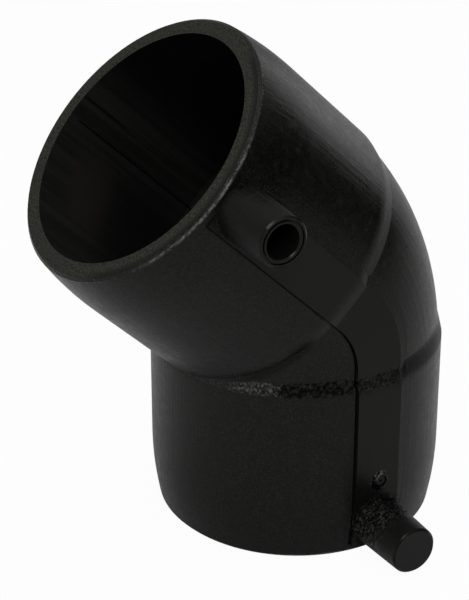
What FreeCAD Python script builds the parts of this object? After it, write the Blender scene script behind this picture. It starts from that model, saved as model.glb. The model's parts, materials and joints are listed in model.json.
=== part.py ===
import FreeCAD, Part
import math
import os

# 45 degree electrofusion elbow for 63 mm polyethylene pipe.
# Millimetres. The origin is the centre of the lower mouth, +Z runs up the lower
# socket, the bend leans towards -X and both terminals stand out towards -Y.
# The elbow is symmetrical, so each form is made for the lower half and mirrored.

# Pipe
pipe_diameter = 63.0
pipe_wall = 5.8
pipe_clearance = 0.3          # radial, between the pipe and the socket bore

# Path
bend_angle = 45.0
leg_length = 63.8             # from a mouth to where the two socket axes cross
insertion_depth = 47.0        # from a mouth to the pipe stop
stop_bevel = 1.5

# Sockets
socket_wall = 6.3
crown_length = 18.0           # the stretch that narrows towards the mouth
crown_drop = 1.9              # how much the outer radius loses on it
mouth_bevel = 0.8
shoulder_length = 7.0         # the bevel that steps down to the bend
shoulder_drop = 1.7

# Bend between the sockets
bend_radius = 46.0
bend_section_radius = 37.2

# Raised strip that carries the terminals and the indicators
strip_offset = 0.7            # middle of its flat, measured towards the outside of the bend
strip_width = 12.6            # of its flat face
strip_rise = 0.5              # of its flat face, over the highest line of the round
strip_flank_angle = 35.0      # slope that leads down from its flat to the outside of the bend
strip_margin = 2.5            # bare stretch at each mouth
strip_bend_radius = 24.0
groove_width = 0.5            # fine groove along the strip, on the inside of the bend
groove_depth = 0.95           # below the highest line of the round

# Terminals and indicators, in one line
terminal_offset = 1.7         # measured like the strip's
terminal_from_mouth = 8.5
shroud_radius = 6.3           # at its rim
shroud_draft = 1.9            # degrees by which its side leans inwards
shroud_height = 16.1          # above the socket's full radius
shroud_bevel = 0.4
shroud_bore_radius = 4.25
shroud_bore_bevel = 0.25
shroud_depth = 15.1
rim_groove_radius = 5.25
rim_groove_width = 0.5
rim_groove_depth = 0.5
pin_radius = 2.0
pin_height = 7.0              # above the floor of the shroud
pin_bevel = 0.4
pin_foot_radius = 2.8         # the wider foot, moulded in up to the floor

# Plug in the lower shroud
plug_flange_radius = 5.8
plug_flange_thickness = 0.35
plug_bevel = 0.15
plug_depth = 5.0
plug_clearance = 0.05

# Fusion indicators
indicator_from_mouth = 20.9
indicator_radius = 1.3
indicator_clearance = 0.3
indicator_boss_radius = 2.3
indicator_boss_rise = 0.5
indicator_boss_bevel = 0.2
indicator_recess = 0.4
indicator_dimple_radius = 0.4
indicator_dimple_depth = 0.5
indicator_skin = 1.2          # plastic left between a well and the winding

# Heating wire, wound under the bore surface of both sockets
wire_radius = 0.4
wire_cover = 0.4
winding_from_mouth = 5.0
winding_length = 26.0
wire_bend_radius = 4.0        # where the wire turns from one socket to the other

# Sizes that follow
half_angle = math.radians(bend_angle / 2)
mitre_slope = math.tan(half_angle)
crossing = FreeCAD.Vector(0, 0, leg_length)
socket_bore = pipe_diameter / 2 + pipe_clearance
socket_radius = socket_bore + socket_wall
passage_radius = pipe_diameter / 2 - pipe_wall
shoulder_z = leg_length - socket_radius * mitre_slope
rim_y = socket_radius + shroud_height
floor_y = rim_y - shroud_depth
winding_inner = socket_bore + wire_cover
winding_outer = winding_inner + 2 * wire_radius
boss_top_y = socket_radius + strip_rise + indicator_boss_rise
well_floor_y = winding_outer + indicator_skin

Z_AXIS = FreeCAD.Vector(0, 0, 1)
OUTWARD = FreeCAD.Vector(0, -1, 0)


def point(x, z):
    """A point of the bend's plane."""
    return FreeCAD.Vector(x, 0, z)


def polygon(points):
    """A closed outline in the bend's plane, as a face."""
    return Part.Face(Part.makePolygon(points + [points[0]]))


def turned(profile):
    """A profile beside the lower socket's axis, turned into a solid around it."""
    return profile.revolve(FreeCAD.Vector(), Z_AXIS, 360)


def on_upper(shape):
    """The same piece on the upper socket, mirrored across the bend's middle plane."""
    normal = FreeCAD.Vector(-math.sin(half_angle), 0, math.cos(half_angle))
    return shape.mirror(crossing, normal)


def stud(radius, inner_y, outer_y, from_mouth):
    """A cylinder in the line of the terminals that stands out towards -Y."""
    base = FreeCAD.Vector(terminal_offset, -inner_y, from_mouth)
    return Part.makeCylinder(radius, outer_y - inner_y, base, OUTWARD)


def bevelled_stud(radius, inner_y, outer_y, from_mouth, bevel):
    """A stud whose outer edge is bevelled."""
    base = FreeCAD.Vector(terminal_offset, bevel - outer_y, from_mouth)
    tip = Part.makeCone(radius, radius - bevel, bevel, base, OUTWARD)
    return stud(radius, inner_y, outer_y - bevel, from_mouth).fuse(tip)


def half_bend(radius, turn_radius, centre_x=0, centre_y=0):
    """A round bar that turns from the lower socket's direction up to the middle plane."""
    start_z = leg_length - turn_radius * mitre_slope
    centre = FreeCAD.Vector(centre_x, -centre_y, start_z)
    section = Part.Face(Part.Wire(Part.makeCircle(radius, centre, Z_AXIS)))
    return section.revolve(point(-turn_radius, start_z), OUTWARD, bend_angle / 2)


def lower_half_space():
    """A block that ends at the middle plane."""
    reach = 2 * socket_radius
    outline = polygon(
        [
            point(-reach, -reach),
            point(reach, -reach),
            point(reach, leg_length + reach * mitre_slope),
            point(-reach, leg_length - reach * mitre_slope),
        ]
    )
    outline.translate(-OUTWARD * reach)
    return outline.extrude(OUTWARD * 2 * reach)


def socket_profile(rise):
    """Half a section along the lower socket, grown by rise: crown, straight body and shoulder."""
    full = socket_radius + rise
    crown_radius = (crown_length**2 + crown_drop**2) / (2 * crown_drop)

    def crown(z):
        drop = crown_radius - math.sqrt(crown_radius**2 - (crown_length - z) ** 2)
        return point(full - drop, z)

    arc = Part.Arc(crown(mouth_bevel), crown(crown_length / 2), crown(crown_length))
    shoulder_end = shoulder_z + shoulder_length
    rest = Part.makePolygon(
        [
            crown(crown_length),
            point(full, shoulder_z),
            point(full - shoulder_drop, shoulder_end),
            point(0, shoulder_end),
            point(0, 0),
            point(crown(mouth_bevel).x - mouth_bevel, 0),
            crown(mouth_bevel),
        ]
    )
    return Part.Face(Part.Wire([arc.toShape()] + rest.Edges))


def outer_form():
    """The lower socket and its half of the bend."""
    bend = half_bend(bend_section_radius, bend_radius)
    return turned(socket_profile(0)).fuse(bend).common(lower_half_space())


def along_strip(corners, start_z):
    """A bar that follows the strip's path up to the middle plane, from the corners of its section."""
    turn_z = leg_length - strip_bend_radius * mitre_slope

    def section(z):
        points = [FreeCAD.Vector(x, -y, z) for x, y in corners]
        return Part.Face(Part.makePolygon(points + [points[0]]))

    straight = section(start_z).extrude(Z_AXIS * (turn_z - start_z))
    turn = section(turn_z).revolve(point(-strip_bend_radius, turn_z), OUTWARD, bend_angle / 2)
    return straight.fuse(turn)


def slab(rise):
    """A block across the lower socket, flat on its face, with the socket's profile along it."""
    face = socket_profile(rise)
    face.rotate(FreeCAD.Vector(), Z_AXIS, -90)
    face.translate(point(-socket_radius, 0))
    return face.extrude(point(2 * socket_radius, 0))


def strip():
    """The raised strip: its face and its flank follow the socket's profile, then the bend."""
    inner = strip_offset - strip_width / 2
    outer = strip_offset + strip_width / 2
    slope = math.tan(math.radians(strip_flank_angle))
    socket_y = socket_radius + strip_rise
    bend_y = bend_section_radius + strip_rise
    flank = slab(strip_rise)
    flank.rotate(FreeCAD.Vector(outer, -socket_y, 0), Z_AXIS, strip_flank_angle)
    foot = outer + (socket_y - socket_bore) / slope
    shoulder_end = shoulder_z + shoulder_length
    outline = polygon(
        [
            point(inner, strip_margin),
            point(foot, strip_margin),
            point(foot, shoulder_end),
            point(inner, shoulder_end),
        ]
    )
    on_socket = outline.extrude(OUTWARD * socket_y).common(slab(strip_rise)).common(flank)
    corners = [
        (inner, 0),
        (inner, bend_y),
        (outer, bend_y),
        (foot, bend_y - (foot - outer) * slope),
        (foot, 0),
    ]
    return on_socket.fuse(along_strip(corners, shoulder_z))


def groove():
    """What is cut out along the sharp edge of the strip."""
    edge = strip_offset - strip_width / 2
    sides = [edge - groove_width, edge]

    def bar(inner_y, outer_y, start_z):
        corners = [(x, y) for x, y in zip(sides + sides[::-1], [inner_y] * 2 + [outer_y] * 2)]
        return along_strip(corners, start_z)

    bend_bottom = bar(0, bend_section_radius - groove_depth, shoulder_z)
    return bar(0, rim_y, strip_margin).cut([slab(-groove_depth), bend_bottom])


def shroud():
    """The shroud of a terminal: it narrows towards its rim, whose edge is bevelled."""
    height = rim_y - shroud_bevel - winding_outer
    root_radius = shroud_radius + height * math.tan(math.radians(shroud_draft))
    root = FreeCAD.Vector(terminal_offset, -winding_outer, terminal_from_mouth)
    side = Part.makeCone(root_radius, shroud_radius, height, root, OUTWARD)
    edge = root + OUTWARD * height
    rim = Part.makeCone(shroud_radius, shroud_radius - shroud_bevel, shroud_bevel, edge, OUTWARD)
    return side.fuse(rim)


def shroud_hole():
    """The hole of a shroud, bevelled at its mouth."""
    hole = stud(shroud_bore_radius, floor_y, rim_y, terminal_from_mouth)
    mouth = FreeCAD.Vector(terminal_offset, -rim_y, terminal_from_mouth)
    lead_radius = shroud_bore_radius + shroud_bore_bevel
    lead = Part.makeCone(lead_radius, shroud_bore_radius, shroud_bore_bevel, mouth, -OUTWARD)
    return hole.fuse(lead)


def rim_groove():
    """The fine ring pressed into the rim of a shroud."""
    outer = rim_groove_radius + rim_groove_width / 2
    ring = stud(outer, rim_y - rim_groove_depth, rim_y, terminal_from_mouth)
    return ring.cut(stud(outer - rim_groove_width, floor_y, rim_y, terminal_from_mouth))


def winding():
    """The turns of one winding as a single close-wound sleeve."""
    winding_end = winding_from_mouth + winding_length
    section = [
        point(winding_inner, winding_from_mouth),
        point(winding_outer, winding_from_mouth),
        point(winding_outer, winding_end),
        point(winding_inner, winding_end),
    ]
    return turned(polygon(section))


def half_wire():
    """One winding and its half of the wire that joins the two."""
    y = winding_inner + wire_radius
    start = FreeCAD.Vector(0, -y, winding_from_mouth + winding_length - wire_radius)
    turn_z = leg_length - wire_bend_radius * mitre_slope
    run = Part.makeCylinder(wire_radius, turn_z - start.z, start)
    turn = half_bend(wire_radius, wire_bend_radius, 0, y)
    return winding().fuse([run, turn])


def terminal_pin():
    """A contact pin: its foot is moulded in and sits on the winding."""
    pin = bevelled_stud(
        pin_radius, winding_inner, floor_y + pin_height, terminal_from_mouth, pin_bevel
    )
    foot = stud(pin_foot_radius, winding_inner, floor_y, terminal_from_mouth)
    core = Part.makeCylinder(winding_outer, leg_length)
    return pin.fuse(foot).cut(core).removeSplitter()


def fusion_indicator():
    """A fusion indicator: a pin in its well, with a dimple in its head."""
    head_y = boss_top_y - indicator_recess
    pin = stud(indicator_radius, well_floor_y, head_y, indicator_from_mouth)
    dimple_y = head_y - indicator_dimple_depth
    return pin.cut(stud(indicator_dimple_radius, dimple_y, head_y, indicator_from_mouth))


def terminal_plug():
    """The plug of the lower shroud: a flange on the rim and a stem in the hole."""
    top_y = rim_y + plug_flange_thickness
    flange = bevelled_stud(plug_flange_radius, rim_y, top_y, terminal_from_mouth, plug_bevel)
    stem_radius = shroud_bore_radius - plug_clearance
    stem = stud(stem_radius, rim_y - plug_depth, rim_y, terminal_from_mouth)
    return flange.fuse(stem).removeSplitter()


def bores():
    """What is cut out of the lower half: the pipe's room, the passage, a hole, a well and grooves."""
    lead_radius = passage_radius + stop_bevel
    stop = point(0, insertion_depth)
    return [
        Part.makeCylinder(socket_bore, insertion_depth),
        Part.makeCone(lead_radius, passage_radius, stop_bevel, stop),
        Part.makeCylinder(passage_radius, leg_length + passage_radius),
        shroud_hole(),
        stud(
            indicator_radius + indicator_clearance,
            well_floor_y,
            boss_top_y,
            indicator_from_mouth,
        ),
        rim_groove(),
        groove(),
    ]


def half_body(wire, pin):
    """The lower half of the moulded body, with pockets for the wire and the pin moulded into it."""
    boss = bevelled_stud(
        indicator_boss_radius,
        winding_outer,
        boss_top_y,
        indicator_from_mouth,
        indicator_boss_bevel,
    )
    solid = outer_form().fuse([strip(), shroud(), boss]).removeSplitter()
    return solid.cut(bores() + [wire, pin])


wire = half_wire()
pin = terminal_pin()
indicator = fusion_indicator()
body = half_body(wire, pin)
pieces = {
    "elbow_body": body.fuse(on_upper(body)),
    "heating_wire": wire.fuse(on_upper(wire)),
    "terminal_pin_lower": pin,
    "terminal_pin_upper": on_upper(pin),
    "fusion_indicator_lower": indicator,
    "fusion_indicator_upper": on_upper(indicator),
    "terminal_plug_lower": terminal_plug(),
}

os.makedirs("parts", exist_ok=True)
for name, shape in pieces.items():
    shape.exportStep("parts/" + name + ".step")
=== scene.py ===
import json
import math
import bpy
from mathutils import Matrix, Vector

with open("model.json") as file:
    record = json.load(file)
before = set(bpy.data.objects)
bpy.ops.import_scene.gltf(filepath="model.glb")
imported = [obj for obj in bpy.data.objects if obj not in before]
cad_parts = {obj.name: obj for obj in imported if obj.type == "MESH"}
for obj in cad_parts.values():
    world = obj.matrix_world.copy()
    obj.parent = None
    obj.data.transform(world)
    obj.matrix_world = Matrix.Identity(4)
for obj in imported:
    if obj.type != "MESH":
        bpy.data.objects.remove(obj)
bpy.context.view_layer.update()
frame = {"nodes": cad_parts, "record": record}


# Moulded body: black polyethylene, injection moulded in one shot round the wire and the pins.
# Fine lines run along both sockets and round the bend, the mouths are turned off to a matte,
# grainy face, and the plastic flowed unevenly on the shoulders and round the terminals.
class Shade:
    """A socket of a node tree. Arithmetic on it adds the matching Math nodes."""

    def __init__(self, socket):
        self.socket = socket
        self.tree = socket.id_data

    def feed(self, target, value):
        """Links a value to a socket of a node, or sets the socket when it is a plain number."""
        if isinstance(value, Shade):
            self.tree.links.new(value.socket, target)
        else:
            target.default_value = value

    def node(self, kind, settings, inputs, output=0):
        """Adds any node: its type, its settings, then the values or links of its sockets."""
        made = self.tree.nodes.new(kind)
        for name, value in settings.items():
            setattr(made, name, value)
        for name, value in inputs.items():
            self.feed(made.inputs[name], value)
        return Shade(made.outputs[output])

    def math(self, operation, *others):
        """A Math node with self as its first value."""
        return self.node("ShaderNodeMath", {"operation": operation}, dict(enumerate((self, *others))))

    def __add__(self, other):
        return self.math("ADD", other)

    def __sub__(self, other):
        return self.math("SUBTRACT", other)

    def __rsub__(self, other):
        return self.node("ShaderNodeMath", {"operation": "SUBTRACT"}, {0: other, 1: self})

    def __mul__(self, other):
        return self.math("MULTIPLY", other)

    __radd__ = __add__
    __rmul__ = __mul__

    def rise(self, low, high):
        """0 up to low and 1 from high on, with a smooth slope between."""
        limits = {"Value": self, "From Min": low, "From Max": high}
        return self.node("ShaderNodeMapRange", {"interpolation_type": "SMOOTHSTEP"}, limits)

    def within(self, low, high, soft):
        """1 between low and high, falling to 0 over a soft edge on both sides."""
        return self.rise(low - soft, low) * (1.0 - self.rise(high, high + soft))

    def mix(self, zero, one):
        """zero where self is 0 and one where it is 1, for numbers."""
        return self.node("ShaderNodeMix", {"data_type": "FLOAT"}, {0: self, 2: zero, 3: one})

    def tint(self, zero, one):
        """The same for colours."""
        return self.node("ShaderNodeMix", {"data_type": "RGBA"}, {0: self, 6: zero, 7: one}, 2)

    def place(self, y, z):
        """A place from its three coordinates, self being the first."""
        return self.node("ShaderNodeCombineXYZ", {}, {0: self, 1: y, 2: z})

    def noise(self, size, detail=2.0, roughness=0.5):
        """Noise from 0 to 1 over a place in millimetres, with lumps of about this size."""
        settings = {"Vector": self, "Scale": 1 / size, "Detail": detail, "Roughness": roughness}
        return self.node("ShaderNodeTexNoise", {}, settings)

    def bump(self, depth, under):
        """A normal from a height that is this many millimetres deep, on top of another normal."""
        return self.node("ShaderNodeBump", {}, {"Height": self, "Distance": depth / 1000, "Normal": under})


def finish(slot, **plain):
    """Gives a slot's CAD nodes one material. Returns its shader and the place in millimetres."""
    made = bpy.data.materials.new(slot)
    made.use_nodes = True
    shader = made.node_tree.nodes["Principled BSDF"]
    for name, value in plain.items():
        shader.inputs[name.replace("_", " ")].default_value = value
    for part in frame["record"]["subparts"]:
        if part["material_slot"] == slot:
            mesh = frame["nodes"][part["node"]].data
            mesh.materials.clear()
            mesh.materials.append(made)
    metres = Shade(made.node_tree.nodes.new("ShaderNodeTexCoord").outputs["Object"])
    scale = {0: metres, 1: (1000.0, 1000.0, 1000.0)}
    return shader, metres.node("ShaderNodeVectorMath", {"operation": "MULTIPLY"}, scale)


def apart(where):
    """The three coordinates of a place."""
    split = where.tree.nodes.new("ShaderNodeSeparateXYZ")
    where.feed(split.inputs[0], where)
    return [Shade(output) for output in split.outputs]


leg = 63.8
half_bend = math.radians(22.5)


def along_and_aside(x, z, radius):
    """Distance along a path from its middle and offset to the outside, for a bend of this radius:
    the place turned back by its angle round the bend's centre, which stops at both straight legs."""
    across = x + radius
    up = z - (leg - radius * math.tan(half_bend))
    angle = up.math("ARCTAN2", across).math("MAXIMUM", 0.0).math("MINIMUM", 2 * half_bend)
    cosine, sine = angle.math("COSINE"), angle.math("SINE")
    aside = across * cosine + up * sine - radius
    along = up * cosine - across * sine + (angle - half_bend) * radius
    return along, aside


def length(first, second):
    """Length of the diagonal over two distances."""
    return (first * first + second * second).math("SQRT")


shader, where = finish(
    "black_polyethylene", IOR=1.5, Specular_IOR_Level=0.15, Specular_Tint=(0.99, 1.0, 0.96, 1)
)
# Places on the body: along the bend and out to its outside, round the socket in degrees from the
# terminals' side, in from the nearer mouth, and away from a terminal's and an indicator's axis.
body_bend, strip_bend = 46.0, 24.0
terminal_aside, terminal_depth, indicator_depth = 1.7, 8.5, 20.9
x, y, z = apart(where)
along, aside = along_and_aside(x, z, body_bend)
strip_aside = along_and_aside(x, z, strip_bend)[1]
forward = y * -1.0
around = length(aside, y)
bearing = aside.math("ARCTAN2", forward) * 57.3
from_mouth = z.math("MINIMUM", leg - (x * -0.70711 + (z - leg) * 0.70711))
lower = 1.0 - along.rise(-2.0, 2.0)
upper = 1.0 - lower
terminal_reach = length(strip_aside - terminal_aside, from_mouth - terminal_depth)
left, high = terminal_aside - strip_aside, from_mouth - indicator_depth
indicator_reach = length(left, high)

# Patterns in the plastic: lines that follow the bend, grain, mottling where it flowed unevenly, and
# slow changes that break up every edge.
lines = aside.place(y, along * 0.02)
fine_lines = lines.noise(0.7, 3.0, 0.6)
broad_lines = lines.noise(2.2, 2.0, 0.5)
grain = where.noise(0.45, 2.0, 0.6)
coarse_grain = where.noise(0.55, 2.0, 0.7)
mottle = where.noise(1.1, 3.0, 0.65)
flow = where.noise(2.5, 3.0, 0.6)
drift = (flow - 0.5) * 30.0

# Faces of the body: the strip's flat, the dark side beside it on the upper socket, the bores, the
# mouths with their rims and edges, the shoulders, and the plastic round a terminal or an indicator.
strip_outer, shoulder_start = 7.0, 48.02
strip = strip_aside.within(-5.6, strip_outer, 0.3) * forward.rise(30.0, 33.0)
beside_strip = strip_aside.rise(strip_outer, 8.0)
textured = strip.mix(1.0, 0.2)
flank = bearing.rise(12.0, 24.0) * upper
inside = 1.0 - around.rise(31.9, 32.2)
outside = around.rise(33.0, 34.0)
mouth_face = 1.0 - from_mouth.rise(0.02, 0.08)
mouth_rim = mouth_face * around.rise(33.6, 35.2) * bearing.within(-55.0, 60.0, 15.0)
mouth_edge = around.rise(35.6, 35.9) * (1.0 - from_mouth.rise(0.8, 1.2))
smooth_shoulder = from_mouth.within(48.8, 51.4, 1.4) * beside_strip * lower
rough_shoulder = from_mouth.within(48.6, 51.8, 0.8) * outside * lower * (1.0 - beside_strip)
crease = from_mouth.within(50.4, 51.6, 1.6) * bearing.within(-56.0, -24.0, 10.0) * upper
root = (1.0 - terminal_reach.rise(7.0, 9.0)) * forward.within(37.0, 45.0, 5.0)
boss = (1.0 - indicator_reach.rise(2.5, 3.2)) * forward.rise(37.0, 38.0)
shroud = (1.0 - terminal_reach.rise(6.8, 7.2)) * forward.within(41.0, 53.2, 0.6)
uneven = rough_shoulder + mouth_edge + root * lower.mix(0.4, 1.0) + boss
uneven = uneven + along.rise(-13.0, -9.0) * beside_strip * outside * 0.10

# Two lines scored along the wall of the upper bore, one to the stop and one that fades out.
bore_wall = y.rise(15.0, 22.0) * upper * inside
score = aside.within(-3.55, -3.3, 0.15) * from_mouth.within(4.0, 47.0, 1.5)
short_score = aside.within(2.3, 2.5, 0.15) * from_mouth.within(3.5, 13.0, 6.0)
score = (score + short_score) * bore_wall

# Soft edges: the strip's slope runs out into the round beside it, and the shoulder starts gently.
foot = (aside - strip_aside) * 0.9 + 2.4
soft = (strip_aside - strip_outer).math("MAXIMUM", 0.0).math("MINIMUM", foot) * 0.40
soft = soft * forward.rise(-30.0, 30.0) * (1.0 - inside) * (1.0 - mouth_face)
to_shoulder = (from_mouth - shoulder_start).math("ABSOLUTE")
near_shoulder = (1.0 - to_shoulder * 0.6).math("MAXIMUM", 0.0)
soft = soft - near_shoulder * near_shoulder * 0.10

# Relief, each layer on top of the one before: soft edges, lines, grain, mottling, the mouths'
# turned grain and the scored lines.
face = Shade(shader.id_data.nodes.new("ShaderNodeNewGeometry").outputs["Normal"])
normal = soft.bump(1.0, face)
normal = ((fine_lines * 0.6 + broad_lines * 0.4) * textured * flank.mix(1.0, 1.4)).bump(0.09, normal)
normal = ((grain - 0.5) * textured * (1.0 - flank)).bump(0.05, normal)
normal = ((mottle - 0.5) * uneven).bump(0.45, normal)
normal = (coarse_grain * mouth_face).bump(0.25, normal)
normal = (score * -1.0).bump(0.3, normal)

# Colour of the outside: black with paler grain, deeper and smeared on the dark side, even on the strip.
clean = grain.rise(0.40, 0.85).tint((0.0020, 0.0020, 0.0019, 1), (0.0150, 0.0150, 0.0140, 1))
smeared = grain.rise(0.30, 0.70).tint((0.0006, 0.0006, 0.0005, 1), (0.0048, 0.0048, 0.0041, 1))
smeared = (flow.rise(0.56, 0.74) * 0.6).tint(smeared, (0.0120, 0.0120, 0.0105, 1))
outer = strip.tint(flank.tint(clean, smeared), (0.0038, 0.0038, 0.0035, 1))

# Colour of the bore: scuffed on the inner side of the bend, with one brownish patch. Painted shade
# darkens it deep in on the inner side and all along the outer side.
scuffs = (fine_lines * 0.5 + broad_lines * 0.5).rise(0.35, 0.65)
bore = scuffs.tint((0.0070, 0.0070, 0.0066, 1), (0.0130, 0.0129, 0.0122, 1))
# Painted shade deep in the bore, on the inner side.
deep = from_mouth.rise(12.0, 34.0) * (1.0 - aside.rise(-12.0, -4.0))
bore = deep.tint(bore, (0.005, 0.005, 0.005, 1))
brown_patch = aside.within(-19.0, -14.0, 9.0) * from_mouth.within(14.0, 17.0, 9.0)
bore = brown_patch.tint(bore, (0.0140, 0.0124, 0.0103, 1))
# Painted shade on the outer side of the bore.
bore = aside.rise(2.0, 18.0).tint(bore, (0.002, 0.002, 0.002, 1))

# Colour of the mouths: grey grain where the tool cut, darker along the outer rim.
mouth = coarse_grain.rise(0.30, 0.70).tint((0.006, 0.006, 0.0046, 1), (0.030, 0.030, 0.0235, 1))
mouth = mouth_rim.tint(mouth, (0.0065, 0.0065, 0.0055, 1))
base = mouth_face.tint(inside.tint(outer, bore), mouth)

# Painted highlights: pale colour that stands in for glints on one stretch of the lower shoulder, on one
# side of the lower terminal's root, on the lit top of the indicators' rings and, in streaks, along the
# mouths' turned edge.
painted_glints = rough_shoulder * (bearing + drift * 0.3).within(-54.0, -38.0, 4.0).mix(0.12, 0.55)
painted_glints = painted_glints + root * lower * (left + drift * 0.1).rise(-1.5, 3.0) * 0.3
painted_glints = painted_glints + boss * (left * 0.5 + high * 0.87).rise(0.6, 1.4)
painted_glints = painted_glints * where.noise(0.65, 1.5).rise(0.42, 0.70)
turned_edge = around.within(36.1, 36.5, 0.2) * mouth_edge
turned_edge = turned_edge * (bearing + drift * 0.5).within(-20.0, 8.0, 26.0)
streaks = (bearing * 0.3).place(around, 0.0).noise(0.6, 2.0).rise(0.30, 0.75)
painted_glints = painted_glints + turned_edge * streaks
where.feed(shader.inputs["Base Color"], painted_glints.tint(base, (0.12, 0.12, 0.115, 1)))

rough = uneven.mix(shroud.mix(0.30, 0.45), 0.2) + (flow - 0.5) * 0.25
where.feed(shader.inputs["Roughness"], mouth_face.mix(rough, 0.75))
where.feed(shader.inputs["Normal"], normal)

# Painted shade: a near-black, unlit shader mixed in where shade falls, so these places give back no light:
# hollows in the uneven plastic and a stretch of the lower shoulder, the smooth part of that shoulder, the
# foot of the upper one, the scored lines, the lower terminal's root and the shaded side of the indicators'
# rings.
pit_shade = 1.0 - mottle.rise(0.42, 0.62)
painted_shade = rough_shoulder * (bearing + drift).within(-36.0, -14.0, 6.0) * pit_shade.mix(0.15, 0.85)
painted_shade = painted_shade + rough_shoulder * strip * pit_shade * 0.5 + smooth_shoulder * 0.35 + crease * 0.35
painted_shade = painted_shade + root * lower * pit_shade * 0.65 + score * 0.8
painted_shade = painted_shade + boss * (left * 0.9 - high * 0.45).rise(0.6, 1.4) * 0.85
shade_black = where.node("ShaderNodeBsdfDiffuse", {}, {"Color": (0.001, 0.001, 0.001, 1)})
blend = painted_shade.node("ShaderNodeMixShader", {}, {0: painted_shade, 1: Shade(shader.outputs[0]), 2: shade_black})
where.feed(shader.id_data.nodes["Material Output"].inputs["Surface"], blend)

# Heating wire: resistance wire close wound under each bore, moulded in and out of sight.
# It is bare drawn wire, a dull grey that varies a little from place to place.
shader, where = finish("resistance_wire", Metallic=1.0, Roughness=0.4)
drawn = where.noise(1.1)
where.feed(shader.inputs["Base Color"], drawn.tint((0.30, 0.27, 0.23, 1), (0.45, 0.41, 0.36, 1)))

# Contact pins: turned brass, each with its foot moulded into the floor of its shroud.
# The tool left fine rings along the pin.
shader, where = finish("terminal_brass", Metallic=1.0)
x, y, z = apart(where)
rings = (x * 0.1).place(y * 10.0, z * 0.1).noise(3.0)
where.feed(shader.inputs["Base Color"], rings.tint((0.50, 0.34, 0.13, 1), (0.62, 0.45, 0.20, 1)))
where.feed(shader.inputs["Roughness"], rings.mix(0.28, 0.4))

# Fusion indicators: small polyethylene pins in blind holes, pushed out by the melt when welded.
# Their heads are glossier than the body.
shader, where = finish("indicator_polyethylene", Specular_IOR_Level=0.15)
speck = where.noise(0.4)
where.feed(shader.inputs["Base Color"], speck.tint((0.0015, 0.0015, 0.0015, 1), (0.0050, 0.0050, 0.0050, 1)))
where.feed(shader.inputs["Roughness"], speck.mix(0.2, 0.35))

# Plug: soft black plastic pushed into the lower shroud, with a smooth even face.
# Its flange covers the rim of the shroud.
shader, where = finish("plug_plastic", Specular_IOR_Level=0.18)
speck = where.noise(0.6)
where.feed(shader.inputs["Base Color"], speck.tint((0.0035, 0.0035, 0.0034, 1), (0.0050, 0.0050, 0.0048, 1)))
where.feed(shader.inputs["Roughness"], speck.mix(0.42, 0.5))

# Studio: a white table that runs out of sight in every direction, in a dim even room. The camera
# sees both as plain white, with a light contact shadow; the gloss mirrors them as they are lit.
table_mesh = bpy.data.meshes.new("table")
table_mesh.from_pydata([(-9, -9, 0), (9, -9, 0), (9, 9, 0), (-9, 9, 0)], [], [(0, 1, 2, 3)])
table = bpy.data.objects.new("table", table_mesh)
bpy.context.collection.objects.link(table)
table.location.z = -0.00002
white = bpy.data.materials.new("white_table")
white.use_nodes = True
table_mesh.materials.append(white)
coat = white.node_tree.nodes["Principled BSDF"]
coat.inputs["Base Color"].default_value = (0.72, 0.72, 0.72, 1)
coat.inputs["Roughness"].default_value = 0.9
rays = white.node_tree.nodes.new("ShaderNodeLightPath").outputs
camera_ray, through_ray = Shade(rays["Is Camera Ray"]), Shade(rays["Is Transmission Ray"])
glow = camera_ray.node("ShaderNodeEmission", {}, {"Strength": 1.0})
share = camera_ray.math("MAXIMUM", through_ray) * 0.96
lifted = camera_ray.node("ShaderNodeMixShader", {}, {0: share, 1: Shade(coat.outputs[0]), 2: glow})
camera_ray.feed(white.node_tree.nodes["Material Output"].inputs["Surface"], lifted)

world = bpy.data.worlds.new("room")
bpy.context.scene.world = world
world.use_nodes = True
room = world.node_tree.nodes["Background"]
room.inputs["Color"].default_value = (1, 1, 1, 1)
seen = Shade(world.node_tree.nodes.new("ShaderNodeLightPath").outputs["Is Camera Ray"])
seen.feed(room.inputs["Strength"], seen.mix(0.33, 1.0))

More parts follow.
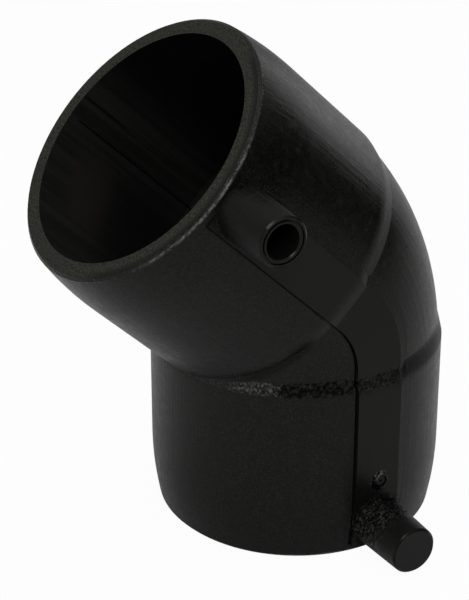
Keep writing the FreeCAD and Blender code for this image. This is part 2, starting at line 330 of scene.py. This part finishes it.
# Black card: half a metre high, it curves round the elbow from the front to the right. Only gloss
# sees it, and it keeps that side of the sockets dark.
card_radius, card_height, posts = 1.1, 0.5, 28
angles = [math.radians(-130 + 5 * post) for post in range(posts)]
ring = [(card_radius * math.cos(angle), card_radius * math.sin(angle)) for angle in angles]
corners = [(x, y, 0.0) for x, y in ring] + [(x, y, card_height) for x, y in ring]
panels = [(post, post + 1, post + 1 + posts, post + posts) for post in range(posts - 1)]
card_mesh = bpy.data.meshes.new("black_card")
card_mesh.from_pydata(corners, [], panels)
card = bpy.data.objects.new("black_card", card_mesh)
bpy.context.collection.objects.link(card)
black = bpy.data.materials.new("black_card")
black.use_nodes = True
black.node_tree.nodes["Principled BSDF"].inputs["Base Color"].default_value = (0.01, 0.01, 0.01, 1)
black.node_tree.nodes["Principled BSDF"].inputs["Specular IOR Level"].default_value = 0.0
card_mesh.materials.append(black)
card.visible_camera = False
card.visible_diffuse = False
card.visible_shadow = False


# Lamps: a large soft one above, and smaller ones at the left, at the back right and in front, placed
# where the photograph's highlights run along the sockets.
def softbox(name, place, wide, high, power):
    """A rectangular lamp that faces the middle of the elbow."""
    light = bpy.data.lights.new(name, "AREA")
    light.shape = "RECTANGLE"
    light.size = wide
    light.size_y = high
    light.energy = power
    lamp = bpy.data.objects.new(name, light)
    bpy.context.collection.objects.link(lamp)
    lamp.location = place
    lamp.rotation_mode = "QUATERNION"
    lamp.rotation_quaternion = (Vector((0, 0, 0.06)) - Vector(place)).to_track_quat("-Z", "Y")


softbox("top", (0.0, -0.05, 0.85), 0.8, 0.8, 3.5)
softbox("left", (-0.80, -0.14, 0.32), 0.56, 0.5, 1.5)
softbox("back_right", (0.80, 0.30, 0.23), 0.5, 0.4, 0.5)
softbox("front_left", (-0.27, -0.58, 0.70), 0.22, 0.22, 2.0)

# Camera: the photograph's own place, found from both mouths, the shoulders and the terminals.
# A long lens, about half a metre away, looking down at 27 degrees.
lens = bpy.data.cameras.new("camera")
camera = bpy.data.objects.new("camera", lens)
bpy.context.collection.objects.link(camera)
bpy.context.scene.camera = camera
lens.lens = 122.69
lens.sensor_width = 36.0
lens.clip_start = 0.05
lens.clip_end = 20.0
turn, tilt = math.radians(-30.505), math.radians(27.343)
level = math.cos(tilt)
back = Vector((math.sin(turn) * level, -math.cos(turn) * level, math.sin(tilt)))
camera.location = Vector((-0.01860, 0.0, 0.06062)) + back * 0.52177
camera.rotation_mode = "QUATERNION"
camera.rotation_quaternion = (-back).to_track_quat("-Z", "Y")
bpy.context.scene.view_settings.view_transform = "Standard"
